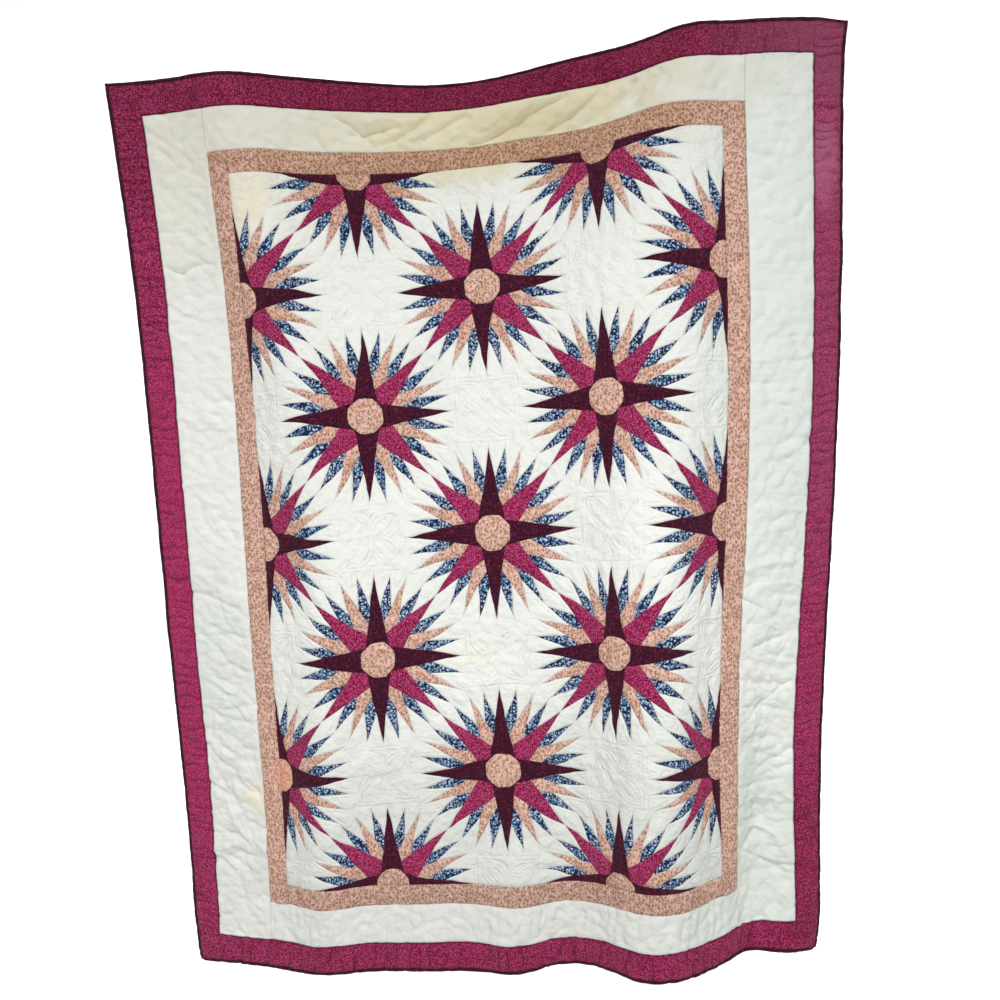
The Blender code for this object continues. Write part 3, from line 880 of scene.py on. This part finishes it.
def backingMaterial():
    # plain muslin; the quilting shows on it as fine lines: round the patches, in the open ground and
    # across the borders
    paint = Paint("plainBacking", 0.03)
    inRows = smaller(paint.down - fieldTop, fieldBottom - paint.down)
    inField = smaller(fieldHalf - abs(paint.across), inRows) > 0.0
    away = seamDistance(starPatches(*starPlace(paint.across, paint.down)))
    ground = ease(gapStitches(*gapPlace(paint.across, paint.down)), 0.016, 0.0)
    stitches = larger(ease(away, 0.014, 0.0), ground * 0.8) * inField
    stitches = stitches + crossStitches(paint, "white", tanHalf, whiteTop, tanBottom) * (1.0 - inField)
    cloud = ease(paint.noise(0.30, 3.0), 0.35, 0.75) * 0.6
    tone = paint.mix(cloud, cottons["backing"], cottons["backingDim"])
    tone = paint.mix(stitches * 0.10, tone, linear(150, 142, 126))
    height = weave(paint, 0.0013) + puckers(paint, 0.024, 0.0040) - stitches * 0.0016
    return paint.finish(tone, clothRough(paint), height)


backing = backingMaterial()
finishes = {
    "starField": (starFieldMaterial(), backing),
    "tan": (tanMaterial(), backing),
    "white": (whiteMaterial(), backing),
    "raspberry": (raspberryMaterial(), backing),
}
dark = darkMaterial()
finishes["dark"] = (dark, dark)
print("cottons mixed")

pitches = {  # front grid pitch and how many of its cells make one of the back
    "starField": (0.00508, 3),
    "tan": (0.0040, 3),
    "white": (0.0033, 3),
    "raspberry": (0.0036, 3),
    "dark": (0.0040, 1),
}


def sew(name, node, finish, slotName, spanAcross, spanDown, rise, cells=None):
    pitch, coarse = pitches[finish]
    countAcross = gridCount(spanAcross[1] - spanAcross[0], pitch, coarse)
    countDown = gridCount(spanDown[1] - spanDown[0], pitch, coarse)
    if cells:  # a narrow strip has a given number of cells over its width
        countAcross, countDown = (cells, countDown) if countDown > countAcross else (countAcross, cells)
    piece = clothPiece(name, spanAcross, spanDown, countAcross, countDown, coarse, rise, finishes[finish])
    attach(piece, "root")
    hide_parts(node)
    return piece


fieldSpans = (-fieldHalf, fieldHalf), (fieldTop, fieldBottom)
fieldPiece = sew("starField", "star_field", "starField", "white_cotton", *fieldSpans, fieldRelief)
print("star field sewn")

rings = [  # kind, node, slot, inner and outer half width, rows of the top and bottom strips
    ("tan", "tan_border", "tan_print", fieldHalf, tanHalf, (tanTop, fieldTop), (fieldBottom, tanBottom)),
    ("white", "white_border", "white_cotton", tanHalf, whiteHalf, (whiteTop, tanTop), (tanBottom, whiteBottom)),
    (
        "raspberry", "outer_border", "raspberry_print", whiteHalf, outerHalf,
        (outerTop, whiteTop), (whiteBottom, outerBottom),
    ),
    ("dark", "binding", "dark_maroon", outerHalf, quiltHalf, (0.0, outerTop), (outerBottom, quiltBottom)),
]
quiltingOf = {"left": 0, "right": 0, "top": 1, "bottom": 2}  # which entry of quilting a side takes
bindingCells = 6  # over its width
sewn = {}
for number, (kind, node, slotName, inner, outer, topRows, bottomRows) in enumerate(rings):
    places = {
        "left": ((-outer, -inner), (topRows[0], bottomRows[1]), (inner, outer), True),
        "right": ((inner, outer), (topRows[0], bottomRows[1]), (inner, outer), True),
        "top": ((-inner, inner), topRows, topRows, False),
        "bottom": ((-inner, inner), bottomRows, bottomRows, False),
    }
    for side, (spanAcross, spanDown, seams, runsDown) in places.items():
        if kind == "dark":
            edges = seams if side != "top" else seams[::-1]
            rise = bindingRelief(edges[0], edges[1], runsDown)
        else:
            channel, uneven = quilting[kind][quiltingOf[side]]
            rise = stripRelief(seams, runsDown, channel, uneven, number * 4 + len(sewn))
        cells = bindingCells if kind == "dark" else None
        name = kind + "Strip" + side.capitalize()
        sewn[kind, side] = sew(name, f"{node}_{side}", kind, slotName, spanAcross, spanDown, rise, cells)
print("borders and binding sewn")

# flat sizes of each strip, and the strips above and beside it, worked out but not used
fieldBottom - fieldTop
above = {"tan": "white", "white": "raspberry"}
for kind, node, slotName, inner, outer, topRows, bottomRows in rings[:3]:
    for side in ("left", "right", "top", "bottom"):
        upright = side in ("left", "right")
        across = outer - inner if upright else 2 * inner
        down = bottomRows[1] - topRows[0] if upright else topRows[1] - topRows[0]
        holds = [sewn[above[kind], "top"]] if kind in above else []
        edging = [sewn["dark", side]] if kind == "raspberry" else []


# camera, floor and light
view = {
    "place": (0.166, -2.366, -0.878),
    "yaw": -3.79,  # degrees, to the right, down and round
    "pitch": 5.02,
    "roll": -3.67,
    "sensor": 36,
    "lens": 0.9452 * 36,
    "floor": -3.9,
    "sweep": (-9.0, 5.0, 2.5, 11.0),  # front, start of the bend, its radius, height
    "sweepHalf": 12.0,
}
camera = bpy.data.objects.new("camera", bpy.data.cameras.new("camera"))
bpy.context.scene.collection.objects.link(camera)
bpy.context.scene.camera = camera
camera.data.lens = view["lens"]
camera.data.sensor_width = view["sensor"]
camera.data.clip_start = 0.05
camera.data.clip_end = 100
yaw, pitch, roll = (math.radians(view[k]) for k in ("yaw", "pitch", "roll"))
forward = np.array([math.sin(yaw) * math.cos(pitch), math.cos(yaw) * math.cos(pitch), -math.sin(pitch)])
right = np.array([math.cos(yaw), -math.sin(yaw), 0.0])
up = np.cross(right, forward)
turnedRight = right * math.cos(roll) + up * math.sin(roll)
turnedUp = up * math.cos(roll) - right * math.sin(roll)
matrix = np.eye(4)
matrix[:3, 0], matrix[:3, 1], matrix[:3, 2] = turnedRight, turnedUp, -forward
matrix[:3, 3] = np.array(view["place"]) - topMiddle
camera.matrix_world = Matrix(matrix.tolist())
scene = bpy.context.scene
scene.view_settings.view_transform = "Standard"


def floorPiece():
    # a pale studio sweep: the floor runs back and turns up in a quarter circle behind the quilt
    front, back, bend, top = view["sweep"]
    turn = np.linspace(0.0, math.pi / 2, 25)
    y = np.concatenate([[front], back + bend * np.sin(turn), [back + bend]])
    z = view["floor"] + np.concatenate([[0.0], bend * (1 - np.cos(turn)), [top]])
    x = np.array([-view["sweepHalf"], view["sweepHalf"]])
    points = np.stack([np.tile(x, len(y)), np.repeat(y, 2), np.repeat(z, 2)], -1)
    first = np.arange(0, 2 * (len(y) - 1), 2)
    faces = np.stack([first, first + 1, first + 3, first + 2], -1)
    mesh = bpy.data.meshes.new("floor")
    mesh.from_pydata(points.tolist(), [], faces.tolist())
    mesh.polygons.foreach_set("use_smooth", np.ones(len(faces), bool))
    material = bpy.data.materials.new("paleFloor")
    material.use_nodes = True
    shader = material.node_tree.nodes["Principled BSDF"]
    shader.inputs["Base Color"].default_value = linear(244, 244, 243)
    shader.inputs["Roughness"].default_value = 0.9
    shader.inputs["Specular IOR Level"].default_value = 0.1
    mesh.materials.append(material)
    floor = bpy.data.objects.new("floor", mesh)
    scene.collection.objects.link(floor)
    return floor


# sun: degrees left of the front, degrees above level, strength, softness in degrees, colour
suns = {"keySun": (-4.0, 57.0, 1.70, 8.0, (1.0, 0.995, 0.985))}
roomLight = 0.35
# panel: place, aim, width, height, watts, colour
panels = {
    "frontPanel": ((0.10, -1.9, -1.05), (0.10, 0.0, -1.05), 0.9, 0.9, 10.8, (0.99, 0.995, 1.0)),
    "backdropPanel": ((0.0, 3.6, 2.2), (0.0, 7.5, -0.95), 9.0, 1.2, 440.0, (1.0, 1.0, 1.0)),
}


def hungLight(name, light, place, toLight, colour):
    light.color = colour
    holder = bpy.data.objects.new(name, light)
    scene.collection.objects.link(holder)
    holder.matrix_world = Matrix.Translation(place) @ toLight.to_track_quat("Z", "Y").to_matrix().to_4x4()


def softSun(name, azimuth, height, strength, softness, colour):
    light = bpy.data.lights.new(name, "SUN")
    light.energy = strength
    light.angle = math.radians(softness)
    azimuth, height = math.radians(azimuth), math.radians(height)
    level = math.cos(height)
    toLight = Vector((-math.sin(azimuth) * level, -math.cos(azimuth) * level, math.sin(height)))
    hungLight(name, light, (0, 0, 0), toLight, colour)


def softPanel(name, place, aim, width, height, watts, colour):
    light = bpy.data.lights.new(name, "AREA")
    light.shape = "RECTANGLE"
    light.size = width
    light.size_y = height
    light.energy = watts
    hungLight(name, light, place, Vector(place) - Vector(aim), colour)


floorPiece()
for name, settings in suns.items():
    softSun(name, *settings)
for name, settings in panels.items():
    softPanel(name, *settings)
scene.world = bpy.data.worlds.new("paleRoom")
scene.world.use_nodes = True
room = scene.world.node_tree.nodes["Background"]
room.inputs["Color"].default_value = (1.0, 1.0, 1.0, 1.0)
room.inputs["Strength"].default_value = roomLight
print("camera and lights set")
